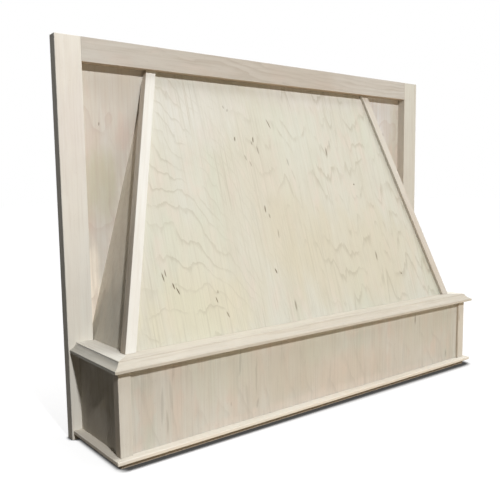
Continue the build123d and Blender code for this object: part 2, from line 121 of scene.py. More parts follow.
class Bench:
    """Shorthand for Blender's modelling operators, on one piece at a time."""

    @staticmethod
    def clear() -> None:
        """Leave edit mode and deselect every object."""
        if bpy.context.object and bpy.context.object.mode != "OBJECT":
            bpy.ops.object.mode_set(mode="OBJECT")
        for other in bpy.context.view_layer.objects:
            other.select_set(False)

    @staticmethod
    def settle() -> None:
        """Put the selected objects' place, turn and size into their meshes."""
        bpy.ops.object.transform_apply(location=True, rotation=True, scale=True)

    @staticmethod
    def link(name: str, data: bpy.types.ID) -> Piece:
        """Stand an object with this data in the scene."""
        piece = bpy.data.objects.new(name, data)
        bpy.context.scene.collection.objects.link(piece)
        return piece

    @staticmethod
    def hold(piece: Piece) -> None:
        """Make this the one selected and active object."""
        Bench.clear()
        piece.select_set(True)
        bpy.context.view_layer.objects.active = piece

    @staticmethod
    def edit(piece: Piece, kind: str = "VERT") -> None:
        """Enter edit mode on this piece, with all of it selected.

        Args:
            piece: The piece.
            kind: What is selected: "VERT", "EDGE" or "FACE".
        """
        Bench.hold(piece)
        bpy.ops.object.mode_set(mode="EDIT")
        bpy.ops.mesh.select_mode(type=kind)
        bpy.ops.mesh.select_all(action="SELECT")

    @staticmethod
    def board(name: str, low: Vector, high: Vector) -> Piece:
        """Add a cube at the size and place of a board.

        Args:
            name: The piece's name.
            low: Its lowest corner.
            high: Its highest corner.

        Returns:
            The board, with its place in its mesh.
        """
        Bench.clear()
        bpy.ops.mesh.primitive_cube_add(size=1, location=(low + high) / 2, scale=high - low)
        Bench.settle()
        return Bench.name(bpy.context.object, name)

    @staticmethod
    def name(piece: Piece, name: str) -> Piece:
        """Name a piece and its mesh."""
        piece.name = name
        piece.data.name = name
        return piece

    @staticmethod
    def pick(piece: Piece, verts: Place) -> None:
        """Select, in edit mode, the vertices at a place, and all that lies between them.

        Args:
            piece: The piece in edit mode.
            verts: Says of a vertex's place whether it is wanted.
        """
        mesh = bmesh.from_edit_mesh(piece.data)
        for part in (*mesh.faces, *mesh.edges, *mesh.verts):
            part.select = False
        for vert in [vert for vert in mesh.verts if verts(vert.co)]:
            vert.select = True
        mesh.select_flush(True)
        bmesh.update_edit_mesh(piece.data)

    @staticmethod
    def cut(piece: Piece, through: Vector, away: Vector) -> None:
        """Saw a piece along a plane and drop what lies on the side that the normal points to.

        Args:
            piece: The piece to cut.
            through: A point of the plane.
            away: Its normal, towards the waste.
        """
        Bench.edit(piece)
        bpy.ops.mesh.bisect(plane_co=through, plane_no=away.normalized(), use_fill=True, clear_outer=True)
        bpy.ops.object.mode_set(mode="OBJECT")

    @staticmethod
    def section(name: str, outline: Sequence[Vector], travel: Vector) -> Piece:
        """Draw a section point by point, fill it and extrude it along a line.

        Args:
            name: The piece's name.
            outline: The section's corners, in order.
            travel: How far and which way the section is extruded.

        Returns:
            The closed solid.
        """
        Bench.clear()
        bpy.ops.mesh.primitive_plane_add(size=0.001, location=outline[0])
        Bench.settle()
        piece = Bench.name(bpy.context.object, name)
        Bench.edit(piece)
        bpy.ops.mesh.merge(type="CENTER")
        for start, end in zip(outline, outline[1:]):
            bpy.ops.mesh.extrude_vertices_move(TRANSFORM_OT_translate={"value": end - start})
        bpy.ops.mesh.select_all(action="SELECT")
        bpy.ops.mesh.edge_face_add()
        bpy.ops.mesh.extrude_region_move(TRANSFORM_OT_translate={"value": travel})
        bpy.ops.mesh.select_all(action="SELECT")
        bpy.ops.mesh.normals_make_consistent(inside=False)
        bpy.ops.object.mode_set(mode="OBJECT")
        return piece

    @staticmethod
    def ease(piece: Piece, width: float, segments: int = 3, where: Place | None = None) -> None:
        """Round a piece's sharp edges over, as sandpaper does, and shade it.

        Args:
            piece: The piece to finish.
            width: The width of the rounding.
            segments: How many faces round each edge.
            where: Says of an edge's middle whether it is rounded; all sharp edges if left out.
        """
        Bench.edit(piece, "EDGE")
        bpy.ops.mesh.select_all(action="DESELECT")
        bpy.ops.mesh.edges_select_sharp(sharpness=SHARP)
        mesh = bmesh.from_edit_mesh(piece.data)
        for edge in mesh.edges:
            if edge.select and where and not where((edge.verts[0].co + edge.verts[1].co) / 2):
                edge.select = False
        mesh.select_flush(False)
        bmesh.update_edit_mesh(piece.data)
        bpy.ops.mesh.bevel(offset=width, segments=segments, profile=0.5, clamp_overlap=True, affect="EDGES")
        Bench.shade(piece)

    @staticmethod
    def shade(piece: Piece) -> None:
        """Turn the faces outwards and shade them, with flat faces kept flat."""
        Bench.edit(piece)
        bpy.ops.mesh.normals_make_consistent(inside=False)
        bpy.ops.object.mode_set(mode="OBJECT")
        bpy.ops.object.shade_smooth_by_angle(angle=SMOOTH)
        modifier = piece.modifiers.new("flat_faces", "WEIGHTED_NORMAL")
        modifier.keep_sharp = True
        bpy.ops.object.modifier_apply(modifier=modifier.name)

    @staticmethod
    def mirror(piece: Piece, name: str) -> Piece:
        """Copy a right-hand piece, with a mesh of its own, and turn the copy into the left-hand one.

        Args:
            piece: The right-hand piece.
            name: The left-hand one's name.

        Returns:
            The left-hand one.
        """
        Bench.hold(piece)
        bpy.ops.object.duplicate(linked=False)
        twin = Bench.name(bpy.context.object, name)
        twin.scale = (-1, 1, 1)
        Bench.settle()
        Bench.shade(twin)
        return twin

    @staticmethod
    def copy_of(node: str, name: str) -> Piece:
        """Copy a CAD node, merged and with its flat faces whole, so that it can be worked on.

        Args:
            node: The CAD node.
            name: The new piece's name.

        Returns:
            The copy, free of the frame.
        """
        piece = Bench.name(Bench.link(name, frame["nodes"][node].data.copy()), name)
        Bench.edit(piece)
        bpy.ops.mesh.customdata_custom_splitnormals_clear()
        bpy.ops.mesh.remove_doubles(threshold=NEAR)
        bpy.ops.mesh.dissolve_limited(angle_limit=FLAT)
        bpy.ops.object.mode_set(mode="OBJECT")
        return piece


# ---------------- shader arithmetic


def arithmetic(operation: str, turned: bool = False) -> Callable[..., Reading]:
    """Make a method of Reading that adds one Math node.

    Args:
        operation: The node's operation.
        turned: Whether the reading comes last, as in the reflected form of an operator.

    Returns:
        The method, which takes the operation's other value, if it has one.
    """

    def method(self: Reading, *others: Reading | float) -> Reading:
        """Work out the operation on this reading and the other value."""
        values = (*others, self) if turned else (self, *others)
        return self.graph.add("Math", dict(enumerate(values)), operation=operation)

    return method


class Reading:
    """One number that a shader works out, with arithmetic that adds its Math nodes."""

    def __init__(self, graph: Graph, socket: bpy.types.NodeSocket) -> None:
        """Wrap an output socket of a graph."""
        self.graph = graph
        self.socket = socket

    __add__, __radd__ = arithmetic("ADD"), arithmetic("ADD", turned=True)
    __sub__, __rsub__ = arithmetic("SUBTRACT"), arithmetic("SUBTRACT", turned=True)
    __mul__, __rmul__ = arithmetic("MULTIPLY"), arithmetic("MULTIPLY", turned=True)
    __truediv__, __rtruediv__ = arithmetic("DIVIDE"), arithmetic("DIVIDE", turned=True)
    __pow__, __abs__ = arithmetic("POWER"), arithmetic("ABSOLUTE")
    fraction, least, most = arithmetic("FRACT"), arithmetic("MINIMUM"), arithmetic("MAXIMUM")

    def rise(self, start: float, end: float) -> Reading:
        """A smooth step from 0 at start to 1 at end."""
        ends = {"Value": self, "From Min": start, "From Max": end, "To Min": 0.0, "To Max": 1.0}
        return self.graph.add("MapRange", ends, interpolation_type="SMOOTHSTEP")

    def fall(self, start: float, end: float) -> Reading:
        """A smooth step from 1 at start to 0 at end."""
        return 1.0 - self.rise(start, end)

    def ridge(self, start: float, crest: float, power: float) -> Reading:
        """Of a fraction: a line that swells from start to its crest, and ends sharply at the whole number."""
        return self.rise(start, crest) ** power * self.fall(crest, 1.0)


Layer = tuple[Colour, Reading]


class Graph:
    """The node tree of one material, or of the room's light."""

    def __init__(self, owner: bpy.types.Material | bpy.types.World) -> None:
        """Start an empty tree on a material or a world."""
        owner.use_nodes = True
        self.owner = owner
        self.tree = owner.node_tree
        self.tree.nodes.clear()

    def add(
        self, kind: str, sockets: dict[str | int, object] | None = None, out: int | str = 0, **settings: object
    ) -> Reading:
        """Add one node.

        Args:
            kind: The node's type, without the words that every shader node's type starts with.
            sockets: The values or links of its inputs.
            out: The output that is returned.
            **settings: Its properties, set before its inputs.

        Returns:
            The chosen output.
        """
        node = self.tree.nodes.new(f"ShaderNode{kind}")
        for key, value in settings.items():
            setattr(node, key, value)
        for key, value in (sockets or {}).items():
            self.feed(node.inputs[key], value)
        return Reading(self, node.outputs[out] if node.outputs else None)

    def feed(self, socket: bpy.types.NodeSocket, value: object) -> None:
        """Link a reading to a socket, or set the socket to a plain value.

        Args:
            socket: The input.
            value: A reading, a colour, a vector or a number.
        """
        if isinstance(value, Reading):
            self.tree.links.new(value.socket, socket)
        elif socket.type == "RGBA":
            socket.default_value = (*value, 1.0)
        else:
            socket.default_value = value

    def axes(self, where: Reading) -> tuple[Reading, Reading, Reading]:
        """The three numbers of a place."""
        x, y, z = (self.add("SeparateXYZ", {0: where}, axis) for axis in "XYZ")
        return x, y, z

    def blend(self, base: Reading | Colour, over: Reading | Colour, share: Reading | float) -> Reading:
        """Mix two colours: share 0 gives the first and 1 the second."""
        return self.add("Mix", {0: share, 6: base, 7: over}, 2, data_type="RGBA", clamp_factor=True)

    def bump(self, height: Reading, strength: float, depth: float) -> Reading:
        """The surface's normal, turned by a height from 0 to 1 that is this deep."""
        return self.add("Bump", {"Strength": strength, "Distance": depth, "Height": height}, "Normal")

    def finish(self, piece: Piece, sockets: dict[str | int, object]) -> None:
        """Close the tree with a Principled shader, and put the material on all of a piece.

        Args:
            piece: The piece, whether new or a CAD node.
            sockets: The values or links of the shader's inputs.
        """
        shader = self.add("BsdfPrincipled", sockets)
        self.add("OutputMaterial", {"Surface": shader})
        if piece.name in frame["nodes"]:
            for slot in piece.material_slots:
                slot.material = self.owner
        else:
            piece.data.materials.clear()
            piece.data.materials.append(self.owner)


@dataclass(frozen=True)
class Board:
    """Where a board lies, which way its grain runs and how big it is."""

    centre: Vector
    along: Vector
    across: Vector
    half: Vector

    @staticmethod
    def between(low: Vector, high: Vector, run: Run) -> Board:
        """The board that fills a box, with its grain in this direction.

        Args:
            low: The box's lowest corner.
            high: Its highest corner.
            run: The way the grain runs.

        Returns:
            The board.
        """
        along, across = run.value
        size = (high - low) / 2
        half = Vector([abs(size.dot(axis)) for axis in (across, along.cross(across), along)])
        return Board((low + high) / 2, along, across, half)

    @staticmethod
    def of(node: str, run: Run) -> Board:
        """The board that fills a node's box."""
        return Board.between(*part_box(node), run)

    def axes(self) -> Matrix:
        """The turn from the board's own axes, width, thickness and length, to the part's."""
        return Matrix((self.across, self.along.cross(self.across), self.along)).transposed()


@dataclass(frozen=True)
class Pattern:
    """Noise at so many lumps a metre across, through and along a board, in a place of its own.

    A mask of it steps from 0 to 1 between start and end; a wave of it is size high, above and below 0.
    """

    scale: Colour
    shift: float = 0.0
    detail: float = 2.0
    start: float = 0.0
    end: float = 1.0
    size: float = 1.0


@dataclass(frozen=True)
class Specks:
    """A few small dashes, one in each cell that isn't left empty, at so many cells a metre."""

    scale: Colour
    shift: float
    rim: Pair = (0.06, 0.24)


@dataclass(frozen=True)
class Ground:
    """What a finish is painted on: a graph, a board's coordinates and its own part of every pattern."""

    graph: Graph
    where: Reading
    seed: float

    def stretched(self, scale: Colour, shift: float) -> Reading:
        """The coordinates scaled along each axis, and moved to a part of the pattern of their own."""
        start = self.seed + shift
        moved = tuple(start * by + plus for by, plus in SEED_SPREAD)
        return self.graph.add("VectorMath", {0: self.where, 1: scale, 2: moved}, operation="MULTIPLY_ADD")

    def axes(self) -> tuple[Reading, Reading, Reading]:
        """How far a place is across the board, through it and along its grain."""
        return self.graph.axes(self.where)

    def noise(self, pattern: Pattern) -> Reading:
        """Soft noise from 0 to 1, about 0.5."""
        place = self.stretched(pattern.scale, pattern.shift)
        sockets = {"Vector": place, "Scale": 1.0, "Detail": pattern.detail, "Roughness": 0.55}
        return self.graph.add("TexNoise", sockets)

    def mask(self, pattern: Pattern) -> Reading:
        """Patches with soft edges: 1 inside them and 0 elsewhere."""
        return self.noise(pattern).rise(pattern.start, pattern.end)

    def wave(self, pattern: Pattern, size: float | None = None) -> Reading:
        """A sway to both sides of 0, as high as the pattern says or else this high."""
        return (self.noise(pattern) - 0.5) * (pattern.size if size is None else size)

    def specks(self, specks: Specks, rarity: float) -> Reading:
        """A mask of small dashes.

        Args:
            specks: Their kind.
            rarity: The share of cells that hold no dash.

        Returns:
            1 inside the dashes and 0 elsewhere.
        """
        cells = {"Vector": self.stretched(specks.scale, specks.shift), "Scale": 1.0, "Randomness": 1.0}
        distance = self.graph.add("TexVoronoi", cells, "Distance", feature="F1")
        shade = self.graph.add("TexVoronoi", cells, "Color", feature="F1")
        chance = self.graph.add("SeparateColor", {"Color": shade}, "Red")
        return distance.fall(*specks.rim) * chance.rise(rarity, rarity + 0.02)


# How a seed becomes a move along each axis: times the first number, plus the second.
SEED_SPREAD = ((1.0, 0.0), (0.7, 3.1), (1.3, -1.7))

# Solid wood, from the rings to the rubbed edges.
WANDER = Pattern((9, 9, 1.8), size=0.05)
RING_GAPS = Pattern((22, 22, 4), 9, start=0.30, end=0.70)
DRIFT = Pattern((14, 14, 2.2), 2, 3.0, 0.32, 0.68)
STREAKS = Pattern((150, 150, 4), 3, 3.0, 0.36, 0.66)
FIBRE = Pattern((1300, 1300, 34), 4, 2.0, 0.52, 0.78)
PATCHES = Pattern((11, 11, 3.4), 14, 2.0, 0.50, 0.72)
FLUSH = Pattern((34, 34, 13), 31, 3.0, 0.48, 0.68)
PORES = Pattern((360, 360, 10), 32, 3.0, 0.46, 0.72)
SMUDGES = Pattern((26, 26, 18), 12, 3.0, 0.42, 0.80)
RUBBING = Pattern((60, 60, 22), 6, 3.0, 0.34, 0.62)
CLOUD_EDGE = Pattern((42, 42, 15), 18, 3.0, size=1.7)
MARK_SWAY = Pattern((20, 1, 30), 33)
RAYS = Specks((420, 420, 130), 0.0)
FLECKS = Specks((70, 70, 16), 7.0)

# Peeled veneer: contours, flames and threads.
ROLL = Pattern((5, 1, 3), 0, 1.0, size=0.16)
ARCHES = Pattern((15, 1, 9), 4)
TOOTH = Pattern((120, 1, 45), 8, size=0.014)
SCALLOPS = Pattern((44, 1, 20), 6, 1.0)
CONTOUR_GAPS = Pattern((17, 1, 12), 9, 3.0, 0.36, 0.60)
SPIRES = Pattern((17, 1, 2.6), 21, size=0.34)
RAGGED = Pattern((110, 1, 13), 22, 3.0, size=0.045)
FLAME_GAPS = Pattern((24, 1, 15), 23, 2.0, 0.41, 0.62)
THREADS = Pattern((300, 1, 7), 15, 3.0, 0.48, 0.76)
THREAD_GAPS = Pattern((9, 1, 6), 16, 2.0, 0.34, 0.60)

# Zinc plating.
PLATING = Pattern((900, 900, 900), 1, 3.0, 0.35, 0.70)
BRUSHING = Pattern((5000, 800, 5000), 2)


# ---------------- finishes


class Row:
    """What is made from a row of a table."""

    @classmethod
    def table(cls, *rows: tuple) -> tuple:
        """Make one of these from each row."""
        return tuple(cls(*row) for row in rows)


@dataclass(frozen=True)
class Mark(Row):
    """One dark mineral streak, in metres from the board's middle."""

    across: float
    up: float
    length: float
    lean: float
    strength: float
    width: float = 0.0021


@dataclass(frozen=True)
class Cloud(Row):
    """One broad soft patch of another tone, in metres from the board's middle; some are painted shade or painted
    light.
    """

    across: float
    up: float
    width: float
    height: float
    tone: Colour
    strength: float


@dataclass(frozen=True)
class Wood:
    """Bare sanded wood with growth rings in depth, so faces, edges and ends each show their own figure."""

    pale: Colour
    warm: Colour
    line: Colour
    fleck: Colour
    cool: Colour
    cool_share: float = 0.25
    ring: float = 0.0055
    ring_rise: Pair = (0.35, 0.94)
    ring_strength: float = 0.20
    streak_strength: float = 0.55
    curl: Pattern = Pattern((60, 60, 34), 5, size=0.0006)
    curls: float = 8.0
    blush: Colour = (0.60, 0.51, 0.45)
    blush_share: float = 0.0
    grain: float = 0.20
    sway: float = 0.0
    drift_share: float = 0.75
    fibre_share: float = 0.16
    ray_share: float = 0.35
    ray_rarity: float = 0.72
    fleck_share: float = 0.60
    fleck_rarity: float = 0.93
    smudge_share: float = 0.10
    worn_share: float = 0.55
    worn_reach: Pair = (0.0003, 0.0022)
    heart: Pair = (0.035, 0.060)
    lean: float = 0.03
    rough: float = 0.62
    specular: float = 0.18
    relief: float = 0.00006
    marks: tuple[Mark, ...] = ()
    clouds: tuple[Cloud, ...] = ()

    def figure(self, ground: Ground) -> Reading:
        """The dark part of each growth ring.

        Args:
            ground: The board's ground.

        Returns:
            The mask of the lines, from 0 to 1.
        """
        x, y, z = ground.axes()
        wander = ground.wave(WANDER)
        aside = x + self.heart[0] * math.cos(ground.seed * 2.3) + z * self.lean + wander
        deep = y + self.heart[1] + wander * 0.4
        radius = (aside * aside + deep * deep) ** 0.5
        turn = ((radius + ground.wave(self.curl) * self.curls) / self.ring).fraction()
        return turn.ridge(*self.ring_rise, 1.0) * ground.mask(RING_GAPS)

    def colour(self, ground: Ground) -> tuple[Reading, Reading]:
        """Lay all the wood's tones over each other, from the broadest to the finest.

        Args:
            ground: The board's ground.

        Returns:
            The wood's colour, and the height of its surface from 0 to 1.
        """
        fibre = ground.noise(FIBRE)
        lines = self.figure(ground)
        rays = ground.specks(RAYS, self.ray_rarity)
        flecks = ground.specks(FLECKS, self.fleck_rarity)
        tone = self.pale
        for over, share in (
            (self.warm, ground.mask(DRIFT) * self.drift_share),
            (self.cool, ground.mask(PATCHES) * self.cool_share),
            (self.blush, ground.mask(FLUSH) * self.blush_share),
            *self.cloud_layers(ground),
            (self.warm, ground.mask(STREAKS) * self.streak_strength * 0.6),
            (self.line, lines * self.ring_strength),
            (self.line, fibre.rise(FIBRE.start, FIBRE.end) * self.fibre_share),
            (self.line, ground.mask(PORES) * self.grain),
            (self.line, rays * self.ray_share),
            (self.fleck, flecks * self.fleck_share),
            *self.mark_layers(ground),
        ):
            tone = ground.graph.blend(tone, over, share)
        return tone, fibre * 0.6 - lines * 0.35 - flecks * 0.4 + rays * 0.15

    def cloud_layers(self, ground: Ground) -> list[Layer]:
        """The broad soft patches, some of them painted shade or painted light.

        Args:
            ground: The board's ground.

        Returns:
            The tone of each, with its share from place to place.
        """
        x, _, z = ground.axes()
        ragged = ground.wave(CLOUD_EDGE)
        layers = []
        for cloud in self.clouds:
            aside = (x - cloud.across) / cloud.width
            reach = (z - cloud.up) / cloud.height
            veil = (aside * aside + reach * reach + ragged).fall(0.05, 1.0)
            layers.append((cloud.tone, veil * cloud.strength))
        return layers

    def mark_layers(self, ground: Ground) -> list[Layer]:
        """The mineral streaks.

        Args:
            ground: The board's ground.

        Returns:
            The tone of each, with its share from place to place.
        """
        x, _, z = ground.axes()
        x = x + ground.wave(MARK_SWAY, self.sway)
        layers = []
        for mark in self.marks:
            up = z - mark.up
            aside = (x - mark.across - up * mark.lean) / mark.width
            reach = up / (mark.length / 2)
            spot = (aside * aside + reach * reach).fall(0.15, 1.0)
            layers.append((self.fleck, spot * mark.strength))
        return layers

    def dress(self, piece: Piece, board: Board, seed: float, boxy: bool = True) -> None:
        """Give a piece this finish.

        Args:
            piece: The piece, whether new or a CAD node.
            board: The board that it was cut from.
            seed: The board's own part of the pattern.
            boxy: Whether the board's box gives the piece's edges, which then show wear.
        """
        graph = Graph(bpy.data.materials.new(f"{type(self).__name__.lower()}_{piece.name}"))
        place = {
            "Vector": graph.add("TexCoord", out="Object"),
            "Location": board.centre,
            "Rotation": board.axes().to_euler(),
        }
        ground = Ground(graph, graph.add("Mapping", place, vector_type="TEXTURE"), seed)
        tone, height = self.colour(ground)
        smudge = ground.mask(SMUDGES)
        tone = graph.blend(tone, self.line, smudge * self.smudge_share)
        rough = self.rough + height * 0.06 + smudge * 0.05
        if boxy:
            worn = self.wear(ground, board)
            tone = graph.blend(tone, self.pale, worn * self.worn_share)
            rough = rough - worn * 0.14
            height = height * (1.0 - worn * 0.7)
        normal = graph.bump(height, 0.7, self.relief)
        looks = {"Base Color": tone, "Roughness": rough, "Specular IOR Level": self.specular, "Normal": normal}
        graph.finish(piece, looks)

    def wear(self, ground: Ground, board: Board) -> Reading:
        """A mask of the rubbed edges: the second nearest of the box's faces is how far an edge is.

        Args:
            ground: The board's ground.
            board: The board, whose box gives the edges.

        Returns:
            1 where an edge is rubbed pale, and 0 elsewhere.
        """
        place = ground.axes()
        x, y, z = (half - abs(axis) for half, axis in zip(board.half, place))
        edge = x.least(y).most(x.most(y).least(z))
        return edge.fall(*self.worn_reach) * ground.mask(RUBBING)


@dataclass(frozen=True)
class RotaryVeneer(Wood):
    """Peeled maple veneer: contour lines that arch over an upright axis and steepen away from it, then flames."""

    axis: float = -0.345
    axis_lean: float = 0.12
    slope: float = 0.0
    steepening: float = 5.6
    pitch: float = 0.040
    arch: float = 0.11
    scallop: float = 0.026
    contour_rise: Pair = (0.56, 0.96)
    contour_strength: float = 0.66
    fading: float = 0.55
    fading_band: Pair = (0.07, 0.19)
    flame_pitch: float = 0.060
    flame_rise: Pair = (0.55, 0.955)
    flame_strength: float = 0.70
    flame_loss: float = 0.58
    turning: Pair = (-0.14, 0.06)
    thread_strength: float = 0.68

    def figure(self, ground: Ground) -> Reading:
        """Arching contours on the left and broken flames on the right, as the peeling knife leaves them.

        Args:
            ground: The sheet's ground.

        Returns:
            The mask of the lines, from 0 to 1.
        """
        x, _, z = ground.axes()
        out = abs(x - self.axis + z * self.axis_lean)
        bow = out * (out * self.steepening + self.slope) + ground.wave(ROLL) + ground.wave(ARCHES, self.arch)
        bow = bow + ground.wave(TOOTH) + ground.wave(SCALLOPS, self.scallop)
        contour = ((z + bow) / self.pitch).fraction().ridge(*self.contour_rise, 3.0)
        contour = contour * ground.mask(CONTOUR_GAPS) * (1.0 - out.rise(*self.fading_band) * self.fading)

        flames = z + x * 0.2 + ground.wave(SPIRES) + ground.wave(RAGGED)
        flames = (flames / self.flame_pitch).fraction().ridge(*self.flame_rise, 2.0) * ground.mask(FLAME_GAPS)

        threads = ground.mask(THREADS) * ground.mask(THREAD_GAPS)
        leftward = (x + z * 0.25).fall(*self.turning)
        contour = contour * leftward * self.contour_strength
        flames = flames * (self.flame_strength - leftward * self.flame_loss)
        return contour.most(flames).most(threads * self.thread_strength)


@dataclass(frozen=True)
class Zinc:
    """Zinc-plated steel with a faint brushed grain and dull patches."""

    bright: Colour = (0.66, 0.67, 0.66)
    dull: Colour = (0.46, 0.45, 0.42)
    rough: float = 0.30
    rougher: float = 0.22
    relief: float = 0.00003

    def dress(self, piece: Piece) -> None:
        """Give a piece this finish.

        Args:
            piece: The piece.
        """
        graph = Graph(bpy.data.materials.new(f"zinc_{piece.name}"))
        ground = Ground(graph, graph.add("TexCoord", out="Object"), 0.0)
        patches = ground.mask(PLATING)
        looks = {
            "Base Color": graph.blend(self.bright, self.dull, patches),
            "Metallic": 1.0,
            "Roughness": self.rough + patches * self.rougher,
            "Normal": graph.bump(ground.noise(BRUSHING), 0.4, self.relief),
        }
        graph.finish(piece, looks)


STILE_MAPLE = Wood(
    (0.7, 0.685, 0.63), (0.65, 0.61, 0.54), (0.5, 0.44, 0.37), (0.34, 0.26, 0.19), (0.63, 0.63, 0.555),
    cool_share=0.5, ring_strength=0.12, streak_strength=0.4, blush=(0.68, 0.61, 0.55), blush_share=0.2,
    clouds=Cloud.table(
        (0.0, 0.2, 0.06, 0.15, (0.63, 0.59, 0.56), 0.55),
        # Painted shade: the stile's outer left face, which lies in shade, is darkened.
        (-0.0222, 0.0, 0.0012, 60.0, (0.37, 0.355, 0.315), 0.9),
    ),
)
GREY_MAPLE = Wood(
    (0.58, 0.58, 0.53), (0.54, 0.51, 0.45), (0.41, 0.36, 0.3), (0.32, 0.25, 0.18), (0.51, 0.53, 0.48),
    ring_strength=0.14,
    # Painted shade: the right stile's inner face, which faces left into shade, is darkened and browned.
    clouds=Cloud.table((-0.0222, 0.0, 0.001, 60.0, (0.52, 0.465, 0.4), 0.85)),
)
RAIL_MAPLE = Wood(
    (0.5, 0.48, 0.44), (0.44, 0.4, 0.35), (0.3, 0.25, 0.2), (0.24, 0.18, 0.14), (0.46, 0.45, 0.41),
    curl=Pattern((42, 42, 9), 5, size=0.0016), lean=0.06, ring=0.0065, ring_strength=0.3,
    blush=(0.5, 0.43, 0.38), blush_share=0.35,
    clouds=Cloud.table(
        (0.0, 0.33, 0.2, 0.2, (0.55, 0.54, 0.51), 0.6),
        # Painted shade: the rail's underside is darkened and browned.
        (-0.01975, 0.0, 0.0008, 99.0, (0.49, 0.385, 0.28), 0.95),
    ),
)
BATTEN_MAPLE = Wood(
    (0.67, 0.67, 0.64), (0.63, 0.61, 0.56), (0.5, 0.45, 0.38), (0.38, 0.29, 0.21), (0.62, 0.63, 0.58),
    ring_strength=0.16,
    clouds=Cloud.table(
        # Painted shade: the left batten's outer side face is darkened, more so towards its foot.
        (-0.0096, 0.0, 0.001, 9.0, (0.58, 0.5, 0.41), 0.9),
        (-0.0096, -0.27, 0.001, 0.33, (0.4, 0.33, 0.25), 0.9),
    ),
)
BROWN_BATTEN_MAPLE = Wood(
    (0.56, 0.55, 0.5), (0.51, 0.46, 0.4), (0.4, 0.33, 0.26), (0.3, 0.22, 0.16), (0.51, 0.51, 0.45),
    ring_strength=0.24,
)
LEDGE_MAPLE = Wood(
    (0.58, 0.56, 0.495), (0.535, 0.49, 0.42), (0.38, 0.32, 0.25), (0.26, 0.2, 0.14), (0.53, 0.53, 0.46),
    ring_strength=0.18, blush=(0.57, 0.53, 0.48), blush_share=0.35, grain=0.42,
    # Painted shade: the cove and nose along the front edge are darkened.
    clouds=Cloud.table((-0.0365, 0.0, 0.013, 0.9, (0.44, 0.41, 0.35), 0.8)),
)
# Painted light and shade: the ledge's left return is paler than the front length, to lift the shade that the body
# casts on it, and its cove along the outer edge is darker.
PAINTED_LIGHT_AND_SHADE_RETURN_MAPLE = Wood(
    (0.64, 0.64, 0.6), (0.6, 0.57, 0.51), (0.44, 0.39, 0.32), (0.26, 0.2, 0.14), (0.59, 0.61, 0.57),
    ring_strength=0.18, grain=0.38,
    clouds=Cloud.table((-0.037, 0.0, 0.011, 0.3, (0.37, 0.36, 0.315), 0.95)),
)
# Painted highlight: the ledge's right return is far paler than the front length, to show it brightly lit.
PAINTED_HIGHLIGHT_RETURN_MAPLE = Wood(
    (0.84, 0.83, 0.78), (0.79, 0.76, 0.68), (0.6, 0.54, 0.45), (0.38, 0.29, 0.21), (0.78, 0.8, 0.76),
    ring_strength=0.14,
)
STRIP_MAPLE = Wood(
    (0.65, 0.62, 0.555), (0.61, 0.56, 0.48), (0.45, 0.38, 0.29), (0.28, 0.21, 0.15), (0.6, 0.6, 0.53),
    ring_strength=0.18,
)
POST_MAPLE = Wood(
    (0.57, 0.547, 0.49), (0.525, 0.485, 0.42), (0.39, 0.33, 0.26), (0.27, 0.2, 0.14), (0.525, 0.525, 0.46),
    ring_strength=0.22,
    # Painted shade: each post's left-facing side face is darkened.
    clouds=Cloud.table((-0.0105, 0.0, 0.001, 9.0, (0.4, 0.34, 0.27), 0.9)),
)
# Painted shade: the plinth is darker than the strip above it, for the band that lies in shadow under the strip.
PAINTED_SHADE_PLINTH_MAPLE = Wood(
    (0.38, 0.34, 0.28), (0.34, 0.29, 0.23), (0.23, 0.19, 0.14), (0.14, 0.1, 0.07), (0.35, 0.33, 0.27),
)
BACK_VENEER = RotaryVeneer(
    (0.585, 0.565, 0.52), (0.53, 0.48, 0.405), (0.43, 0.34, 0.29), (0.16, 0.11, 0.08), (0.51, 0.51, 0.435),
    cool_share=0.7, ring_strength=0.5, blush=(0.58, 0.48, 0.42), blush_share=0.6, grain=0.22, steepening=0.0,
    pitch=0.15, arch=0.4, fading=0.0, turning=(5.0, 6.0), thread_strength=0.5,
    clouds=Cloud.table((0.0, 0.2, 0.08, 0.11, (0.64, 0.65, 0.67), 0.75)),
)
FLECKED_BACK_VENEER = replace(
    BACK_VENEER,
    marks=Mark.table((-0.041, 0.139, 0.008, 0.1, 0.55, 0.0017)),
    clouds=Cloud.table(
        (-0.055, 0.11, 0.022, 0.026, (0.57, 0.45, 0.39), 0.35),
        (-0.001, 0.117, 0.02, 0.03, (0.55, 0.42, 0.36), 0.38),
        (-0.06, -0.03, 0.009, 0.05, (0.57, 0.46, 0.4), 0.35),
        (-0.041, 0.04, 0.04, 0.08, (0.465, 0.445, 0.325), 0.75),
        (-0.018, 0.2, 0.05, 0.04, (0.48, 0.44, 0.39), 0.35),
        # Painted light: the pale patch at the foot of the left back panel lifts the shade that falls there.
        (-0.061, -0.165, 0.016, 0.13, (0.84, 0.765, 0.66), 0.95),
    ),
)
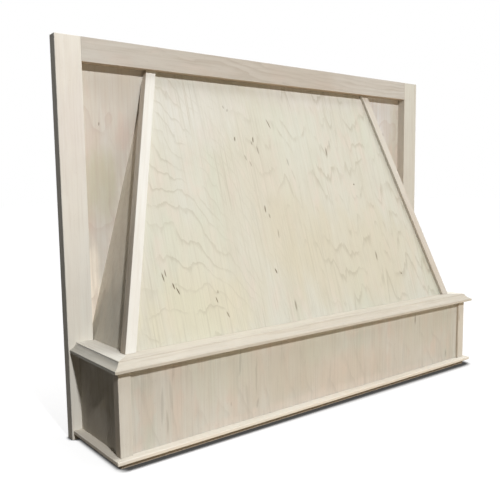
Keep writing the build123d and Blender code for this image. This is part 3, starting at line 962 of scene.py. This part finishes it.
APRON_VENEER = RotaryVeneer(
    (0.53, 0.525, 0.482), (0.49, 0.45, 0.385), (0.31, 0.27, 0.23), (0.17, 0.14, 0.11), (0.46, 0.485, 0.415),
    cool_share=0.85, ring_strength=0.3, thread_strength=0.85, streak_strength=0.6, blush=(0.555, 0.45, 0.385),
    blush_share=0.5, grain=0.2, sway=0.006, fading=0.0, axis=-1.0, slope=4.0, steepening=0.0, pitch=0.2,
    arch=0.34, turning=(5.0, 6.0),
    marks=Mark.table(
        (-0.401, 0.03, 0.07, 0.02, 0.12, 0.0032), (-0.391, 0.056, 0.03, -0.1, 0.1, 0.0036),
        (-0.369, -0.004, 0.075, 0.04, 0.24, 0.003), (-0.36, -0.032, 0.05, -0.05, 0.28, 0.0026),
        (-0.347, 0.047, 0.036, 0.12, 0.16, 0.0032), (-0.352, 0.01, 0.06, -0.08, 0.16, 0.0036),
        (-0.213, 0.04, 0.06, 0.06, 0.23, 0.0032), (-0.199, -0.022, 0.05, -0.12, 0.12, 0.003),
        (-0.177, 0.005, 0.08, 0.02, 0.22, 0.0028), (-0.175, -0.042, 0.022, 0.15, 0.26, 0.0026),
        (-0.234, -0.031, 0.01, 0.0, 0.25, 0.0018), (0.005, -0.02, 0.06, 0.05, 0.1, 0.0036),
        (0.127, 0.023, 0.05, -0.04, 0.08, 0.0036), (0.228, -0.02, 0.07, 0.03, 0.12, 0.0034),
    ),
    clouds=Cloud.table(
        (0.06, -0.03, 0.15, 0.06, (0.53, 0.45, 0.38), 0.6), (-0.1, 0.0, 0.12, 0.07, (0.455, 0.425, 0.35), 0.55),
        # Painted light: the long low band, first on the next line, is a pinkish glow of bounced light painted
        # along the apron's foot.
        (0.0, -0.066, 0.52, 0.02, (0.6, 0.53, 0.465), 0.65), (-0.25, 0.03, 0.08, 0.06, (0.47, 0.48, 0.4), 0.5),
        (0.3, 0.03, 0.12, 0.06, (0.47, 0.46, 0.38), 0.45), (-0.01, 0.04, 0.09, 0.05, (0.46, 0.47, 0.39), 0.45),
    ),
)
SIDE_VENEER = Wood(
    (0.73, 0.69, 0.6), (0.66, 0.59, 0.495), (0.4, 0.32, 0.24), (0.23, 0.17, 0.12), (0.61, 0.62, 0.54),
    ring=0.017,
    clouds=Cloud.table((0.0, -0.22, 0.13, 0.13, (0.52, 0.5, 0.435), 0.8)),
)
# Painted shade: the box sides are a darker copy of the body sides' veneer, for faces that lie in shade, with a
# painted shadow of the ledge at their upper front.
PAINTED_SHADE_BOX_VENEER = Wood(
    (0.475, 0.45, 0.4), (0.435, 0.395, 0.33), (0.31, 0.255, 0.19), (0.18, 0.13, 0.09), (0.445, 0.445, 0.385),
    ring=0.017,
    clouds=Cloud.table((-0.022, 0.022, 0.075, 0.06, (0.265, 0.225, 0.155), 0.85)),
)
SOFTWOOD = Wood(
    (0.7, 0.55, 0.36), (0.64, 0.47, 0.29), (0.4, 0.24, 0.12), (0.26, 0.15, 0.07), (0.66, 0.52, 0.34),
    ring=0.0042, ring_strength=0.6, rough=0.74, relief=0.00014,
)
BEECH = Wood(
    (0.66, 0.5, 0.35), (0.58, 0.42, 0.28), (0.4, 0.27, 0.17), (0.28, 0.18, 0.11), (0.6, 0.47, 0.33),
)
PANEL_VENEER = RotaryVeneer(
    (0.54, 0.538, 0.48), (0.518, 0.497, 0.414), (0.35, 0.32, 0.25), (0.1, 0.07, 0.04), (0.506, 0.532, 0.442),
    cool_share=0.6, ring_strength=0.7, streak_strength=0.45, blush=(0.57, 0.51, 0.45), blush_share=0.6,
    grain=0.17, sway=0.004, fleck_rarity=0.965,
    marks=Mark.table(
        (-0.325, -0.129, 0.019, -0.12, 0.85, 0.0015), (-0.319, -0.123, 0.016, -0.05, 0.75, 0.0014),
        (-0.308, -0.146, 0.014, -0.3, 0.95, 0.0016), (-0.301, -0.155, 0.016, -0.35, 0.95, 0.0016),
        (-0.226, -0.179, 0.014, -0.2, 0.7, 0.0016), (-0.221, -0.165, 0.008, 0.1, 0.4),
        (-0.208, -0.207, 0.014, -0.35, 0.55), (-0.117, 0.119, 0.011, 0.1, 0.75),
        (-0.073, 0.119, 0.015, 0.15, 0.8), (-0.078, 0.112, 0.01, -0.2, 0.45),
        (-0.066, 0.098, 0.022, -0.05, 0.45), (-0.1, 0.082, 0.014, -0.3, 0.35), (-0.09, 0.07, 0.014, -0.3, 0.35),
        (-0.13, 0.182, 0.008, -0.35, 0.4), (-0.122, 0.176, 0.008, 0.25, 0.4),
        (-0.077, -0.02, 0.018, 0.05, 0.75), (-0.07, -0.034, 0.012, -0.2, 0.45),
        (-0.056, -0.07, 0.022, 0.1, 0.35), (-0.081, -0.141, 0.013, -0.3, 0.8),
        (-0.025, 0.154, 0.024, -0.45, 0.6), (0.007, 0.075, 0.02, -0.1, 0.35), (0.187, 0.027, 0.005, 0.0, 1.0),
        (0.277, -0.179, 0.005, 0.0, 0.95),
    ),
    clouds=Cloud.table(
        (-0.2, 0.19, 0.16, 0.11, (0.575, 0.57, 0.545), 0.5),
        (0.01, 0.13, 0.12, 0.12, (0.53, 0.545, 0.48), 0.45),
        (-0.05, 0.02, 0.07, 0.16, (0.54, 0.49, 0.41), 0.35),
        (0.15, -0.13, 0.26, 0.13, (0.52, 0.485, 0.38), 0.55),
        (-0.27, -0.19, 0.15, 0.09, (0.56, 0.53, 0.4), 0.65),
        (-0.25, -0.1, 0.09, 0.08, (0.555, 0.53, 0.445), 0.5),
        (-0.02, -0.08, 0.11, 0.12, (0.515, 0.48, 0.375), 0.5),
        (0.06, 0.215, 0.15, 0.04, (0.58, 0.53, 0.49), 0.45),
        (0.13, 0.225, 0.22, 0.035, (0.62, 0.61, 0.58), 0.55),
    ),
)
ZINC = Zinc()


# ---------------- pieces


@dataclass
class Assembly:
    """A sub-assembly: it makes its pieces, seats them on the frame and reports them."""

    made: list[str] = field(default_factory=list, init=False)

    def seat(self, piece: Piece, node: str, slot: str) -> None:
        """Let a finished piece stand for a CAD node.

        Args:
            piece: The finished piece, with its place in its mesh.
            node: The node that it stands for.
            slot: The record's material slot; not used.
        """
        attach(piece, "root")
        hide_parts(node)
        self.made.append(node)
        LOG.info("%s: %s, %d faces", type(self).__name__, node, len(piece.data.polygons))

    def board(
        self, node: str, wood: Wood, run: Run, slot: str, seed: float, ease: float = 0.0005, bored: bool = True
    ) -> None:
        """Model a straight board in the place of a node, and round its outer edges.

        Args:
            node: The node that the board stands for.
            wood: Its finish.
            run: The way its grain runs.
            slot: The record's material slot.
            seed: The board's own part of the pattern.
            ease: The rounding of its edges.
            bored: Whether it has the holes and cuts of its node; else it is a plain block.
        """
        low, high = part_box(node)
        name = f"{node}_board"
        piece = Bench.copy_of(node, name) if bored else Bench.board(name, low, high)

        def outside(middle: Vector) -> bool:
            """Whether a place lies on two faces of the board's box, as its outer edges do."""
            on = [min(abs(middle[i] - low[i]), abs(middle[i] - high[i])) < NEAR for i in range(3)]
            return sum(on) >= 2

        Bench.ease(piece, ease, where=outside)
        wood.dress(piece, Board.between(low, high, run), seed)
        self.seat(piece, node, slot)

    def inner(self, node: str, run: Run, seed: float, ease: float = 0.0005, bored: bool = True) -> None:
        """Model one of the softwood boards that no one sees."""
        self.board(node, SOFTWOOD, run, "inner_softwood", seed, ease, bored)

    def mitred(
        self,
        stem: str,
        front: Piece,
        right: Piece,
        corner: Vector,
        finishes: Sequence[tuple[Wood, float]],
        ease: float,
    ) -> None:
        """Mitre a front length and its two returns, and seat all three.

        Args:
            stem: What the three nodes' names share.
            front: The front length, still square.
            right: The right-hand return, still square.
            corner: The outer corner where they meet.
            finishes: The wood and seed of the front, the right and the left.
            ease: The rounding of their edges.
        """
        Bench.cut(front, corner, Vector((1, 1, 0)))
        Bench.cut(front, Vector((-corner.x, corner.y, 0)), Vector((-1, 1, 0)))
        Bench.cut(right, corner, Vector((-1, -1, 0)))
        Bench.ease(front, ease)
        Bench.ease(right, ease)
        left = Bench.mirror(right, right.name.replace("right", "left"))
        nodes = (f"{stem}_front", f"right_{stem}_side", f"left_{stem}_side")
        runs = (Run.LEVEL_FLAT, Run.INWARD_FLAT, Run.INWARD_FLAT)
        for piece, node, run, (wood, seed) in zip((front, right, left), nodes, runs, finishes):
            wood.dress(piece, Board.of(node, run), seed)
            self.seat(piece, node, "moulding_maple")

    def keep(self, node: str, wood: Wood, run: Run, seed: float) -> None:
        """Keep a CAD node as it is, with a finish of its own.

        Args:
            node: The node.
            wood: Its finish.
            run: The way its grain runs.
            seed: Its own part of the pattern.
        """
        wood.dress(frame["nodes"][node], Board.of(node, run), seed)
        self.made.append(node)
        LOG.info("%s: %s kept", type(self).__name__, node)


@dataclass
class Screws(Assembly):
    """A group of countersunk screws driven from behind, modelled once and copied to each place."""

    node: str = ""
    reach: float = 0.009
    shank_share: float = 0.5
    cone_share: float = 0.85
    cross_share: float = 0.62
    waist_share: float = 0.42
    floor_share: float = 0.7
    cross_depth: float = 0.0009

    def heads(self) -> list[tuple[Vector, float]]:
        """Find the screws' heads in the node's own mesh.

        Returns:
            The middle and the radius of each head's face.
        """
        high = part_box(self.node)[1].y
        rims: list[list[Vector]] = []
        for vert in frame["nodes"][self.node].data.vertices:
            if abs(vert.co.y - high) > NEAR:
                continue
            near = [rim for rim in rims if (sum(rim, Vector()) / len(rim) - vert.co).length < self.reach]
            if not near:
                near = [[]]
                rims += near
            near[0].append(vert.co.copy())
        middles = [sum(rim, Vector()) / len(rim) for rim in rims]
        return [(middle, max((at - middle).length for at in rim)) for middle, rim in zip(middles, rims)]

    def one(self, head: Vector, length: float, radius: float) -> Piece:
        """Model one screw: a shank, a countersunk head and its cross recess.

        Args:
            head: The middle of the head's face.
            length: From the head's face to the tip.
            radius: The head's radius.

        Returns:
            The screw.
        """
        Bench.clear()
        rise = radius * self.shank_share
        bpy.ops.mesh.primitive_cylinder_add(
            vertices=24,
            radius=radius * self.shank_share,
            depth=length - rise,
            location=head - Vector((0, (length + rise) / 2, 0)),
            rotation=(math.radians(90), 0, 0),
        )
        Bench.settle()
        piece = Bench.name(bpy.context.object, f"{self.node}_one")
        Bench.edit(piece)

        def push(distance: float, spread: float) -> None:
            """Extrude what is selected along the screw, then spread or narrow it about the head's middle."""
            bpy.ops.mesh.extrude_region_move(TRANSFORM_OT_translate={"value": (0, distance, 0)})
            narrow(spread)

        def narrow(spread: float) -> None:
            """Scale what is selected about the screw's axis."""
            bpy.ops.transform.resize(value=(spread, 1, spread), center_override=head)

        def in_cross(at: Vector) -> bool:
            """Whether a vertex belongs to the rim of the recess."""
            return at.y > head.y - NEAR and (at - head).length < radius * 0.7

        def between_arms(at: Vector) -> bool:
            """Whether a vertex of the recess's rim lies between two arms of the cross."""
            turn = math.degrees(math.atan2(at.z - head.z, at.x - head.x)) % 90
            return in_cross(at) and 20 < turn < 70

        Bench.pick(piece, lambda at: at.y > head.y - rise - NEAR)
        push(rise * self.cone_share, 1 / self.shank_share)
        push(rise * (1 - self.cone_share), 1.0)
        push(0.0, self.cross_share)
        Bench.pick(piece, between_arms)
        narrow(self.waist_share)
        Bench.pick(piece, in_cross)
        push(-self.cross_depth, self.floor_share)
        Bench.shade(piece)
        return piece

    def build(self) -> None:
        """Copy the screw to each place, join the copies and seat them."""
        low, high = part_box(self.node)
        heads = self.heads()
        first, radius = heads[0]
        pattern = self.one(first, high.y - low.y, radius)
        for head, _ in heads[1:]:
            Bench.hold(pattern)
            bpy.ops.object.duplicate(linked=False)
            bpy.context.object.location = head - first
            Bench.settle()
        Bench.clear()
        for other in list(bpy.context.view_layer.objects):
            other.select_set(other.name.startswith(f"{self.node}_one"))
        bpy.context.view_layer.objects.active = pattern
        bpy.ops.object.join()
        piece = Bench.name(pattern, f"{self.node}_set")
        ZINC.dress(piece)
        self.seat(piece, self.node, "screw_steel")
        LOG.info("Screws: %d in %s", len(heads), self.node)


@dataclass
class FaceFrame(Assembly):
    """Two stiles and the top rail, dowelled together."""

    stile_ease: float = 0.0007

    def build(self) -> None:
        """Make the stiles, the rail and their dowels."""
        for side, wood, seed in ((Side.LEFT, STILE_MAPLE, 1.7), (Side.RIGHT, GREY_MAPLE, 4.1)):
            self.board(side.named("stile"), wood, Run.UPRIGHT, "frame_maple", seed, self.stile_ease)
        self.board("top_rail", RAIL_MAPLE, Run.LEVEL, "frame_maple", 2.9, self.stile_ease, bored=False)
        self.keep("frame_dowels", BEECH, Run.LEVEL, 8.3)


@dataclass
class RecessedBack(Assembly):
    """The two thin back panels that close the frame beside the body."""

    def build(self) -> None:
        """Make both back panels."""
        for side, wood, seed in ((Side.LEFT, FLECKED_BACK_VENEER, 6.2), (Side.RIGHT, BACK_VENEER, 9.6)):
            self.board(side.named("back_panel"), wood, Run.UPRIGHT, "panel_veneer", seed, SHEET_EASE)


@dataclass
class TaperedBody(Assembly):
    """The sloping front with its battens, sides and inner cleats."""

    top_half_width: float = 0.2887
    foot_half_width: float = 0.4182
    face_top: float = 0.07085
    face_foot: float = -0.06585
    batten_width: float = 0.0192
    batten_lip: float = 0.007
    batten_run: float = 0.007304
    panel_run: float = 0.016696
    side_run: float = 0.012469
    batten_ease: float = 0.0011
    panel_middle: float = 0.012
    panel_half: tuple[float, float, float] = (0.41, 0.0045, 0.24)

    def height(self) -> float:
        """From the ledge to the rail."""
        return RAIL_UNDERSIDE - LEDGE_TOP

    def up_the_edge(self) -> Vector:
        """The right-hand batten's outer corner, from foot to top."""
        return Vector((self.top_half_width - self.foot_half_width, self.face_top - self.face_foot, self.height()))

    def panel_board(self) -> Board:
        """The front panel's own axes, with its length up the slope."""
        along = Vector((0, self.face_top - self.face_foot, self.height())).normalized()
        back = (self.face_top + self.face_foot) / 2 + self.panel_middle
        middle = Vector((0, back, (LEDGE_TOP + RAIL_UNDERSIDE) / 2))
        return Board(middle, along, Vector((1, 0, 0)), Vector(self.panel_half))

    def panel(self) -> None:
        """Make the front panel: its foot's section, extruded up the slope, narrowed and trimmed."""
        foot = self.foot_half_width - self.batten_lip
        top = self.top_half_width - self.batten_lip
        front, back = self.face_foot + self.batten_run, self.face_foot + self.panel_run
        corners = ((-foot, front), (foot, front), (foot, back), (-foot, back))
        outline = [Vector((x, y, LEDGE_TOP)) for x, y in corners]
        travel = self.up_the_edge()
        travel.x = 0
        piece = Bench.section("front_panel_sheet", outline, travel)
        Bench.edit(piece)
        Bench.pick(piece, lambda at: at.z > RAIL_UNDERSIDE - NEAR)
        bpy.ops.transform.resize(value=(top / foot, 1, 1), center_override=(0, 0, RAIL_UNDERSIDE))
        Bench.cut(piece, *BEHIND_FRAME)
        Bench.ease(piece, SHEET_EASE)
        PANEL_VENEER.dress(piece, self.panel_board(), 3.4, boxy=False)
        self.seat(piece, "front_panel", "panel_veneer")

    def battens(self) -> None:
        """Make the battens: an L section that covers the panel's edge, extruded up the slope."""
        edge, face = self.foot_half_width, self.face_foot
        corners = [
            (edge - self.batten_width, face),
            (edge, face),
            (edge, face + self.panel_run),
            (edge - self.batten_lip, face + self.panel_run),
            (edge - self.batten_lip, face + self.batten_run),
            (edge - self.batten_width, face + self.batten_run),
        ]
        outline = [Vector((x, y, LEDGE_TOP)) for x, y in corners]
        piece = Bench.section("right_batten_strip", outline, self.up_the_edge())
        Bench.cut(piece, *BEHIND_FRAME)
        Bench.ease(piece, self.batten_ease)
        along = self.up_the_edge().normalized()
        across = (Vector((1, 0, 0)) - along * along.x).normalized()
        half = Vector((self.batten_width / 2, self.batten_run / 2, self.up_the_edge().length / 2))
        middle = Vector((edge - half.x, face + half.y, LEDGE_TOP)) + self.up_the_edge() / 2
        twin = Bench.mirror(piece, "left_batten_strip")
        BROWN_BATTEN_MAPLE.dress(piece, Board(middle, along, across, half), 5.3, boxy=False)
        flip = Vector((-1, 1, 1))
        BATTEN_MAPLE.dress(twin, Board(middle * flip, along * flip, across * flip * -1, half), 7.8, boxy=False)
        self.seat(piece, "right_batten", "batten_maple")
        self.seat(twin, "left_batten", "batten_maple")

    def sides(self) -> None:
        """Make the body's sides: a block sawn along the slope, the taper and the frame's back."""
        low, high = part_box("right_body_side")
        piece = Bench.board("right_body_side_sheet", low, high)
        lean = Vector((self.height(), 0, self.foot_half_width - self.top_half_width)).normalized()
        outer = Vector((self.foot_half_width - self.batten_lip, 0, LEDGE_TOP))
        Bench.cut(piece, outer, lean)
        Bench.cut(piece, outer - Vector((self.side_run, 0, 0)), -lean)
        slope = Vector((0, -self.height(), self.face_top - self.face_foot)).normalized()
        Bench.cut(piece, Vector((0, self.face_foot + self.panel_run, LEDGE_TOP)), slope)
        Bench.ease(piece, SHEET_EASE)
        twin = Bench.mirror(piece, "left_body_side_sheet")
        for sheet, side, seed in ((piece, Side.RIGHT, 11.2), (twin, Side.LEFT, 13.9)):
            node = side.named("body_side")
            board = Board.of(node, Run.UPRIGHT_SIDE_ON)
            SIDE_VENEER.dress(sheet, board, seed, boxy=False)
            self.seat(sheet, node, "panel_veneer")

    def build(self) -> None:
        """Make the panel, battens and sides, then the cleats inside."""
        self.panel()
        self.battens()
        self.sides()
        for side, seed in ((Side.LEFT, 15.0), (Side.RIGHT, 16.4)):
            self.inner(side.named("body_back_cleat"), Run.UPRIGHT, seed)
            self.inner(side.named("body_panel_cleat"), Run.UPRIGHT, seed + 2.2)
        self.inner("body_foot_cleat", Run.LEVEL, 19.3)
        self.inner("head_cleat", Run.LEVEL, 20.6)


@dataclass
class Ledge(Assembly):
    """The mitred mantle moulding: a flat board with a small step, a shallow cove and a narrow nose."""

    nose_front: float = -0.10495
    nose_side: float = 0.4551
    nose_height: float = 0.0049
    board_width: float = 0.080
    cove_width: float = 0.0115
    cove_depth: float = 0.0014
    step: float = 0.0015
    cove_steps: int = 10
    ease_width: float = 0.0005

    def profile(self) -> list[Pair]:
        """Draw the moulding's section.

        Returns:
            Its corners, as distance back from the nose and height.
        """
        nose_top = LEDGE_UNDERSIDE + self.nose_height
        cove_top = LEDGE_TOP - self.step
        start, end = Vector((self.cove_width, cove_top)), Vector((0.0, nose_top))
        points = [
            (0.0, nose_top),
            (0.0, LEDGE_UNDERSIDE),
            (self.board_width, LEDGE_UNDERSIDE),
            (self.board_width, LEDGE_TOP),
            (self.cove_width, LEDGE_TOP),
            (start.x, start.y),
        ]
        chord = end - start
        inward = Vector((-chord.y, chord.x)).normalized()
        inward = inward if inward.y < 0 else -inward
        radius = (chord.length**2 / 4 + self.cove_depth**2) / (2 * self.cove_depth)
        centre = (start + end) / 2 - inward * (radius - self.cove_depth)
        first, last = start - centre, end - centre
        swing = first.angle_signed(last)
        for step in range(1, self.cove_steps):
            turned = first.copy()
            turned.rotate(Matrix.Rotation(-swing * step / self.cove_steps, 2))
            points.append(tuple(centre + turned))
        return points

    def build(self) -> None:
        """Make the front length, the two returns and the glue blocks."""
        profile = self.profile()
        corner = Vector((self.nose_side, self.nose_front, 0))
        outline = [Vector((-self.nose_side, self.nose_front + back, up)) for back, up in profile]
        front = Bench.section("ledge_front_moulding", outline, Vector((2 * self.nose_side, 0, 0)))
        outline = [Vector((self.nose_side - back, self.nose_front, up)) for back, up in profile]
        right = Bench.section("right_ledge_side_moulding", outline, Vector((0, FRAME_FACE - self.nose_front, 0)))
        finishes = ((LEDGE_MAPLE, 21.5), (PAINTED_HIGHLIGHT_RETURN_MAPLE, 23.1), (PAINTED_LIGHT_AND_SHADE_RETURN_MAPLE, 25.8))
        self.mitred("ledge", front, right, corner, finishes, self.ease_width)
        self.keep("ledge_blocks", SOFTWOOD, Run.LEVEL_FLAT, 27.4)


@dataclass
class LinerBox(Assembly):
    """The shallow box under the ledge: apron, corner posts, sides, blocks and liner ledgers."""

    def build(self) -> None:
        """Make the box's boards."""
        self.board("apron_panel", APRON_VENEER, Run.UPRIGHT, "box_veneer", 29.2, SHEET_EASE, bored=False)
        for side, seed in ((Side.LEFT, 30.7), (Side.RIGHT, 33.5)):
            post, sheet = side.named("corner_post"), side.named("box_side")
            self.board(post, POST_MAPLE, Run.UPRIGHT, "batten_maple", seed, 0.0006, bored=False)
            self.board(sheet, PAINTED_SHADE_BOX_VENEER, Run.UPRIGHT_SIDE_ON, "box_veneer", seed + 1.1, SHEET_EASE)
            self.inner(side.named("corner_block"), Run.UPRIGHT, seed + 1.6)
            self.inner(side.named("liner_ledger_side"), Run.INWARD_FLAT, seed + 2.3)
        self.inner("liner_ledger_front", Run.LEVEL_FLAT, 38.0, 0.0006, bored=False)


@dataclass
class BaseStrip(Assembly):
    """The thin mitred strip round the foot of the box, and the plinth set back under it."""

    front: float = -0.10255
    side: float = 0.4547
    ease_width: float = 0.0011

    def build(self) -> None:
        """Make the strip's three lengths and the plinth's three."""
        corner = Vector((self.side, self.front, 0))
        front = Bench.board("base_strip_front_length", *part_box("base_strip_front"))
        right = Bench.board("right_base_strip_side_length", *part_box("right_base_strip_side"))
        finishes = ((STRIP_MAPLE, 40.4), (STRIP_MAPLE, 42.6), (STRIP_MAPLE, 44.3))
        self.mitred("base_strip", front, right, corner, finishes, self.ease_width)
        for node, run, seed in (
            ("plinth_front", Run.LEVEL_FLAT, 46.9),
            ("left_plinth_side", Run.INWARD_FLAT, 48.1),
            ("right_plinth_side", Run.INWARD_FLAT, 50.5),
        ):
            self.board(node, PAINTED_SHADE_PLINTH_MAPLE, run, "inner_softwood", seed, 0.0006, bored=False)


@dataclass
class WallFixings(Assembly):
    """The hanging rail and the lower cleats behind the frame, with every group of screws."""

    def build(self) -> None:
        """Make the rail, the cleats and the screws."""
        self.inner("hanging_rail", Run.LEVEL, 52.7, 0.0008)
        for side, seed in ((Side.LEFT, 54.2), (Side.RIGHT, 56.8)):
            self.inner(side.named("lower_cleat"), Run.UPRIGHT, seed, 0.0008)
        for node in sorted(name for name in frame["nodes"] if name.endswith("_screws")):
            group = Screws(node)
            group.build()
            self.made += group.made


# ---------------- studio


@dataclass
class Studio:
    """The white room, the light and the camera."""

    focal_length: float = 44.726
    shift: Pair = (0.02965, 0.01905)
    eye: Triple = (-0.84376, -0.90810, 0.41341)
    yaw: float = math.radians(37.21)
    pitch: float = math.radians(-6.347)
    roll: float = math.radians(-0.912)
    key_at: Triple = (-0.80, -2.90, 2.30)
    key_aim: Triple = (0.0, 0.0, 0.33)
    key_size: float = 0.16
    key: float = 111.5
    suns: tuple[tuple[str, Triple, float, float], ...] = (
        ("ceiling", (0.45, -0.22, 1.0), 2.2, 38.0),
        ("behind", (0.25, 1.0, 0.14), 1.9, 60.0),
    )
    ambient: float = 0.042
    ambient_tint: Colour = (1.0, 0.87, 0.68)
    floor_dim: Colour = (0.055, 0.050, 0.042)
    floor_warm: Colour = (0.66, 0.54, 0.39)
    shadow_reach: Triple = (0.0102, 0.0165, 0.031)
    shadow_edge: Pair = (0.51, 0.94)
    floor_glow: Pair = (0.030, 0.86)
    floor_grey: Pair = (0.055, 0.20)
    warm_across: Pair = (-0.55, -0.37)
    warm_back: Pair = (-0.20, 0.60)
    wider_across: Pair = (-0.40, 0.42)
    narrow_across: Pair = (-0.457, -0.435)

    def camera(self) -> None:
        """Stand the camera where the photograph was taken from."""
        data = bpy.data.cameras.new("view")
        data.lens = self.focal_length
        data.sensor_width = 36.0
        data.sensor_fit = "HORIZONTAL"
        data.shift_x, data.shift_y = self.shift
        data.clip_start = 0.02
        camera = Bench.link("view", data)
        sine, cosine, flat = math.sin(self.yaw), math.cos(self.yaw), math.cos(self.pitch)
        ahead = Vector((sine * flat, cosine * flat, math.sin(self.pitch)))
        level = Vector((cosine, -sine, 0))
        above = level.cross(ahead)
        right = level * math.cos(self.roll) + above * math.sin(self.roll)
        up = above * math.cos(self.roll) - level * math.sin(self.roll)
        turn = Matrix((right, up, -ahead)).transposed().to_4x4()
        camera.matrix_world = Matrix.Translation(Vector(self.eye)) @ turn
        bpy.context.scene.camera = camera

    @staticmethod
    def lamp(name: str, kind: str, towards: Vector, strength: float) -> Piece:
        """Add a lamp.

        Args:
            name: Its name.
            kind: Its type.
            towards: The way from the object to the lamp.
            strength: Its strength.

        Returns:
            The lamp, turned to the object.
        """
        data = bpy.data.lights.new(name, kind)
        data.energy = strength
        lamp = Bench.link(name, data)
        lamp.rotation_euler = towards.to_track_quat("Z", "Y").to_euler()
        return lamp

    @staticmethod
    def looked_at(graph: Graph) -> Reading:
        """Tell the rays that show a surface to the eye, directly or in a reflection, from those that light.

        Args:
            graph: The material's or the world's graph.

        Returns:
            1 for a ray that shows the surface, and 0 for one that lights.
        """
        rays = ("Is Camera Ray", "Is Glossy Ray", "Is Transmission Ray")
        seen, glossy, through = (graph.add("LightPath", out=ray) for ray in rays)
        return seen.most(glossy).most(through)

    def lights(self) -> None:
        """Light the cover by a small key in front, a soft lamp above on the right and a weak one behind."""
        key = self.lamp("key", "AREA", Vector(self.key_at) - Vector(self.key_aim), self.key)
        key.data.shape = "DISK"
        key.data.size = self.key_size
        key.location = self.key_at
        key.visible_camera = False
        for name, towards, strength, width in self.suns:
            self.lamp(name, "SUN", Vector(towards), strength).data.angle = math.radians(width)
        room = bpy.data.worlds.new("room")
        bpy.context.scene.world = room
        graph = Graph(room)
        dim = graph.add("Background", {"Color": self.ambient_tint, "Strength": self.ambient})
        white = graph.add("Background", {"Color": (1.0, 1.0, 1.0), "Strength": 1.0})
        sky = graph.add("MixShader", {0: self.looked_at(graph), 1: dim, 2: white})
        graph.add("OutputWorld", {"Surface": sky})

    def floor(self) -> None:
        """Lay the floor: white to the camera, with the cover's shadow and a painted contact shadow at its foot,
        and to the wood pale only in front.
        """
        Bench.clear()
        bpy.ops.mesh.primitive_plane_add(size=40, location=(0, 0, 0))
        piece = Bench.name(bpy.context.object, "studio_floor")
        graph = Graph(bpy.data.materials.new("floor_white"))
        seen = self.looked_at(graph)
        x, y, _ = graph.axes(graph.add("TexCoord", out="Object"))
        front = x.rise(*self.warm_across) * y.fall(*self.warm_back)
        bounce = graph.blend(self.floor_dim, self.floor_warm, front)
        # Painted shadow: ambient occlusion darkens the floor's glow and grey round the cover's foot, narrowly on
        # the left and more widely in front and to the right.
        near, wide, far = (
            graph.add("AmbientOcclusion", {"Distance": reach}, "AO", samples=16).rise(*self.shadow_edge)
            for reach in self.shadow_reach
        )
        wide = wide + (far - wide) * x.rise(*self.wider_across)
        open_sky = near + (wide - near) * x.rise(*self.narrow_across)
        glow, grey = (
            graph.blend((dark,) * 3, (light,) * 3, open_sky) for dark, light in (self.floor_glow, self.floor_grey)
        )
        looks = {
            "Base Color": graph.blend(bounce, grey, seen),
            "Roughness": 1.0,
            "Specular IOR Level": 0.0,
            "Emission Color": graph.blend((0.0, 0.0, 0.0), glow, seen),
            "Emission Strength": 1.0,
        }
        graph.finish(piece, looks)

    def build(self) -> None:
        """Set up the room, the light and the camera."""
        bpy.context.scene.view_settings.view_transform = "Standard"
        self.camera()
        self.lights()
        self.floor()


def main() -> None:
    """Build the cover's sub-assemblies in order, then the studio, and check that every node was made."""
    logging.basicConfig(level=logging.INFO, format="%(name)s %(message)s", stream=sys.stdout)
    assemblies = (FaceFrame(), RecessedBack(), TaperedBody(), Ledge(), LinerBox(), BaseStrip(), WallFixings())
    made: list[str] = []
    for assembly in assemblies:
        assembly.build()
        made += assembly.made
    left_over = sorted(set(frame["nodes"]) - set(made))
    LOG.info("made %d pieces; nodes with no finish: %s", len(made), left_over or "none")
    Studio().build()
    Bench.clear()


if __name__ == "__main__":
    main()
